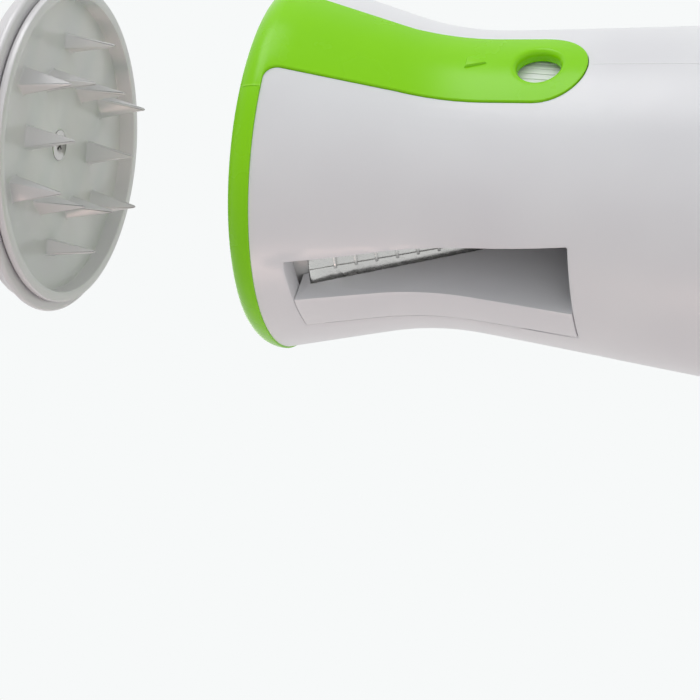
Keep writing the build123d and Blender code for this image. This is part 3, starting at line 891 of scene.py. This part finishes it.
@dataclass
class Pusher:
    """The guard that is held still and the spiked cup that turns in it."""

    paint: Paint
    guard_edge: float = 0.3 * MM
    flange_reach: float = 34.4 * MM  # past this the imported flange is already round
    cup_edge: float = 0.35 * MM
    screw_edge: float = 0.1 * MM
    recess_width: float = 3.4 * MM

    def build(self) -> None:
        """Make the guard and the cup."""
        guard = merged_copy("guard_ring")
        soften(guard, self.guard_edge, lambda place: place.xy.length < self.flange_reach)
        self.paint.hand_over(guard, "guard", "pusher_white", Rides.GUARD, "guard_ring")
        cup = softened_copy("spike_plate", self.cup_edge)
        self.paint.hand_over(cup, "spiked_cup", "pusher_white", Rides.DRIVER, "spike_plate")
        head_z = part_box("plate_screw")[0].z
        screw = softened_copy("plate_screw", self.screw_edge)
        cross_recess(screw, Vector((0, 0, head_z)), Vector((0, 0, -1)), self.recess_width)
        self.paint.hand_over(screw, "cup_screw", "fastener_steel", Rides.DRIVER, "plate_screw")


@dataclass
class Crank:
    """The crank arm with its cap, and the fluted grip that turns on its pin."""

    paint: Paint
    edge: float = 0.5 * MM
    cap_edge: float = 0.2 * MM
    grip_gap: float = 0.3 * MM  # between the arm's upper side and the grip
    pocket_place: float = 0.55  # its middle, as a share of the way from the hub to the pin
    pocket_length: float = 16.5 * MM
    pocket_width: float = 10.5 * MM
    pocket_height: float = 3.6 * MM  # of the cutter, half of which is in the arm
    pocket_taper: float = 0.72  # the pocket's width at the pin's end, as a share
    pocket_floor: tuple[float, float] = (0.9, 0.8)  # its floor's length and width, as shares
    pocket_edge: float = 1.4 * MM
    end_radius: float = 8.0 * MM
    end_edge: float = 0.8 * MM
    end_lift: float = 0.4 * MM
    belly_inset: float = 0.03 * MM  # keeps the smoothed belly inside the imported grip
    bore_radius: float = 3.2 * MM
    seat_radius: float = 5.5 * MM  # of the flat under the grip's cap
    widest: float = 0.53  # the height of the belly's widest place, as a share
    flutes: int = 10
    flute_share: float = 0.93  # a flute's radius, as a share of the grip's
    flute_wave: float = 0.3  # less makes the flutes wider
    flute_margin: float = 5 * MM  # between a flute and the grip's end
    flute_least: float = 6 * MM  # the flutes leave what is nearer the axis
    columns: int = 80
    stations: int = 22
    touch: float = 0.1 * MM  # places this near to each other count as the same

    def build(self) -> None:
        """Make the arm, its cap and the grip."""
        self.paint.hand_over(self.arm(), "arm", "pusher_white", Rides.DRIVER, "crank_arm")
        cap = softened_copy("crank_cap", self.cap_edge)
        self.paint.hand_over(cap, "hub_cap", "lime_green", Rides.DRIVER, "crank_cap")
        self.paint.hand_over(self.grip(), "grip", "lime_green", Rides.GRIP, "crank_grip")
        end = softened_copy("grip_cap", self.cap_edge)
        self.paint.hand_over(end, "grip_end", "lime_green", Rides.GRIP, "grip_cap")

    def arm(self) -> bpy.types.Object:
        """Round the arm's edges and sink a tapered pocket into its upper side.

        Returns:
            The arm.
        """
        piece = softened_copy("crank_arm", self.edge)
        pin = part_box("crank_pin")
        pin_x = (pin[0].x + pin[1].x) / 2
        arm_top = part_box("crank_grip")[0].z - self.grip_gap
        cutter = new_piece(
            bpy.ops.mesh.primitive_cube_add,
            size=1,
            location=(pin_x * self.pocket_place, 0, arm_top),
            scale=(self.pocket_length, self.pocket_width, self.pocket_height),
        )
        place_in_mesh(cutter)
        with editing(cutter, Select.FACES):
            choose_faces(cutter, Vector((1, 0, 0)), anywhere)
            bpy.ops.transform.resize(value=(1, self.pocket_taper, 1))
            bpy.ops.mesh.select_all(action="DESELECT")
            choose_faces(cutter, Vector((0, 0, -1)), anywhere)
            bpy.ops.transform.resize(value=(*self.pocket_floor, 1))
        apply_modifier(cutter, "BEVEL", width=self.pocket_edge, segments=4, limit_method="ANGLE")
        cut_away(piece, cutter)
        smooth(piece)
        return piece

    def grip(self) -> bpy.types.Object:
        """Model the grip: a belly with flutes for the fingers and a bore for the pin.

        Returns:
            The grip.
        """
        low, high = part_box("crank_grip")
        spot = Vector(((low.x + high.x) / 2, (low.y + high.y) / 2, 0))
        length = high.z - low.z
        belly, end = (high.x - low.x) / 2 - self.belly_inset, self.end_radius
        stations = [(low.z, self.bore_radius), (low.z, end - self.end_edge)]
        for index in range(self.stations + 1):
            share = index / self.stations
            run = 1 - self.widest if share > self.widest else self.widest
            reach = (share - self.widest) / run
            radius = end + (belly - end) * (1 - reach**2)
            lift = self.end_lift if index == 0 else 0.0
            stations.append((low.z + lift + share * length, radius))
        stations.append((high.z, self.seat_radius))
        piece = stretched_ring(stations, spot, self.columns)
        with editing(piece, Select.EDGES):
            choose_vertices(piece, lambda place: self.on_seat(place - spot, high.z))
            bpy.ops.mesh.edge_face_add()
        with editing(piece):
            choose_vertices(piece, lambda place: self.in_flute(place - spot, low.z, high.z))
            bpy.ops.transform.resize(value=(self.flute_share, self.flute_share, 1))
            bpy.ops.mesh.select_all(action="SELECT")
            bpy.ops.mesh.normals_make_consistent(inside=False)
        apply_modifier(piece, "SUBSURF", levels=1, render_levels=1)
        smooth(piece, angle=40)
        return piece

    def on_seat(self, place: Vector, high: float) -> bool:
        """Say whether a place on the grip is on the flat under its cap.

        Args:
            place: The place, measured from the grip's axis.
            high: The grip's upper end.

        Returns:
            True on the flat and at its rim.
        """
        within = place.xy.length < self.seat_radius + self.touch
        return within and place.z > high - self.touch

    def in_flute(self, place: Vector, low: float, high: float) -> bool:
        """Say whether a place on the grip lies in a flute.

        Args:
            place: The place, measured from the grip's axis.
            low: The grip's lower end.
            high: The grip's upper end.

        Returns:
            True in a flute, away from the ends.
        """
        wave = math.cos(self.flutes * math.atan2(place.y, place.x))
        outside = place.xy.length > self.flute_least
        between = low + self.flute_margin < place.z < high - self.flute_margin
        return outside and between and wave > self.flute_wave


@dataclass
class Fasteners:
    """The small steel and acetal pieces that hold cup, spindle, crank and blade."""

    paint: Paint
    edge: float = 0.1 * MM

    def build(self) -> None:
        """Break the edges of the turned pieces that keep their plain form."""
        for node, name, slot, body in (
            ("spindle", "drive_spindle", "fastener_steel", Rides.DRIVER),
            ("crank_pin", "grip_pin", "fastener_steel", Rides.DRIVER),
            ("retaining_clip", "snap_ring", "fastener_steel", Rides.DRIVER),
            ("thrust_washer", "washer", "bearing_acetal", Rides.DRIVER),
            ("spindle_bush", "bush", "bearing_acetal", Rides.GUARD),
            ("blade_screws", "comb_screws", "fastener_steel", Rides.BARREL),
            ("crank_screw", "hub_screw", "fastener_steel", Rides.DRIVER),
        ):
            piece = softened_copy(node, self.edge)
            self.paint.hand_over(piece, name, slot, body, node)


# ---------------------------------------------------------------- studio


@dataclass
class Studio:
    """A pale floor and background, soft lamps, and the camera as the photograph has it."""

    camera_place: Vector = field(
        default_factory=lambda: Vector((203.9 * MM, -211.14 * MM, 53.75 * MM))
    )
    camera_forward: Vector = field(default_factory=lambda: Vector((-0.7533, 0.6098, 0.2462)))
    camera_up: Vector = field(default_factory=lambda: Vector((0.6473, 0.7537, 0.1137)))
    lens: float = 77.14  # in mm, on Blender's sensor of 36 mm
    near_clip: float = 10 * MM
    target: Vector = field(default_factory=lambda: Vector((0, 0, 115 * MM)))  # lamps look here
    background: str = "F7F9F9"
    world_level: float = 0.47  # how much of the background lights the object
    floor_side: float = 6.0
    floor_colour: str = "F0F1F1"  # as the lamps' light finds it
    floor_roughness: float = 0.9
    shadow_colour: str = "979898"  # the part of the floor's white that a shadow takes away
    floor_glow: float = 0.71  # the part that it doesn't

    def build(self) -> None:
        """Set up camera, lamps, world and floor."""
        bpy.context.scene.view_settings.view_transform = "Standard"
        self.make_camera()
        self.make_world()
        self.make_floor()
        forward = self.camera_forward.normalized()
        right = forward.cross(self.camera_up).normalized()
        up = right.cross(forward)
        # the photograph's light comes from its upper side, a little from the left and the front;
        # its right is the tool's foot, so a lamp that goes right goes down to the floor
        above = up * 0.62 - forward * 0.22 - right * 0.25
        before = -forward * 0.7 + up * 0.1 - right * 0.3
        beneath = up * -0.5 - forward * 0.2 - right * 0.03
        behind = Vector((-0.5, 0.45, 0.55))
        self.make_lamp("key", above, size=0.42, watts=2.05)
        self.make_lamp("front", before, size=0.5, watts=0.15)
        # weak warm light from below, as pale surfaces under the tool send it back
        self.make_lamp("bounce", beneath, size=0.15, watts=0.5, tint="FFDAD1")
        self.make_lamp("back", behind, size=0.5, watts=0.9)

    def make_camera(self) -> None:
        """Place the camera at the photograph's viewing angle."""
        camera = bpy.data.cameras.new("camera")
        camera.lens = self.lens
        camera.clip_start = self.near_clip
        holder = bpy.data.objects.new("camera", camera)
        bpy.context.scene.collection.objects.link(holder)
        forward = self.camera_forward.normalized()
        right = forward.cross(self.camera_up).normalized()
        turned = Matrix((right, right.cross(forward), -forward)).transposed()
        holder.matrix_world = Matrix.Translation(self.camera_place) @ turned.to_4x4()
        bpy.context.scene.camera = holder

    def make_lamp(
        self, name: str, offset: Vector, size: float, watts: float, tint: str = "FFFFFF"
    ) -> None:
        """Add a square soft lamp that looks at the object.

        Args:
            name: The lamp's name.
            offset: From the object's middle to the lamp, in metres.
            size: The lamp's side, in metres.
            watts: Its power.
            tint: Its colour, as hex.
        """
        lamp = bpy.data.lights.new(name, "AREA")
        lamp.size, lamp.energy, lamp.color = size, watts, linear(tint)[:3]
        holder = bpy.data.objects.new(name, lamp)
        bpy.context.scene.collection.objects.link(holder)
        turned = offset.to_track_quat("Z", "Y").to_matrix().to_4x4()
        holder.matrix_world = Matrix.Translation(self.target + offset) @ turned

    def seen(self, tree: bpy.types.NodeTree) -> bpy.types.NodeSocket:
        """Tell the rays that show a background from those that carry light.

        Args:
            tree: The node tree.

        Returns:
            1 for camera, glossy and transmission rays, and 0 for the others.
        """
        ray = add_node(tree, "LightPath").outputs
        shown = ray["Is Camera Ray"]
        for kind in ("Is Glossy Ray", "Is Transmission Ray"):
            either = add_node(tree, "Math", {0: shown, 1: ray[kind]}, operation="MAXIMUM")
            shown = either.outputs[0]
        return shown

    def make_world(self) -> None:
        """Light the object evenly, and show a near-white background to camera and reflections."""
        world = bpy.data.worlds.new("studio")
        bpy.context.scene.world = world
        world.use_nodes = True
        tree = world.node_tree
        tree.nodes.clear()
        level = add_node(
            tree,
            "MapRange",
            {"Value": self.seen(tree), "To Min": self.world_level, "To Max": 1.0},
        )
        shown = add_node(
            tree,
            "Background",
            {"Color": linear(self.background), "Strength": level.outputs[0]},
        )
        add_node(tree, "OutputWorld", {"Surface": shown.outputs[0]})

    def make_floor(self) -> None:
        """Lay the floor that the tool stands on."""
        floor = new_piece(bpy.ops.mesh.primitive_plane_add, size=self.floor_side)
        floor.name = "floor"
        # matt paper: it glows evenly to the camera, so that only the soft shadow shows on it
        material, tree = blank_material("floor_matt")
        shown = self.seen(tree)
        glow = add_node(tree, "Math", {0: shown, 1: self.floor_glow}, operation="MULTIPLY")
        colour = add_node(
            tree,
            "Mix",
            {"Factor": shown, 6: linear(self.floor_colour), 7: linear(self.shadow_colour)},
            data_type="RGBA",
        )
        shader = add_node(
            tree,
            "BsdfPrincipled",
            {
                "Base Color": colour.outputs[2],
                "Roughness": self.floor_roughness,
                "Specular IOR Level": 0.0,
                "Emission Color": linear(self.background),
                "Emission Strength": glow.outputs[0],
            },
        )
        add_node(tree, "OutputMaterial", {"Surface": shader.outputs[0]})
        floor.data.materials.append(material)


def main() -> None:
    """Build the sub-assemblies in order, then the studio."""
    logging.basicConfig(level=logging.INFO, format="%(name)s: %(message)s")
    paint = Paint(frame["record"])
    paint.coat_nodes()
    for part in (Barrel, Collar, CuttingUnit, Pusher, Crank, Fasteners):
        log.info("building %s", part.__name__)
        part(paint).build()
    Studio().build()


if __name__ == "__main__":
    main()
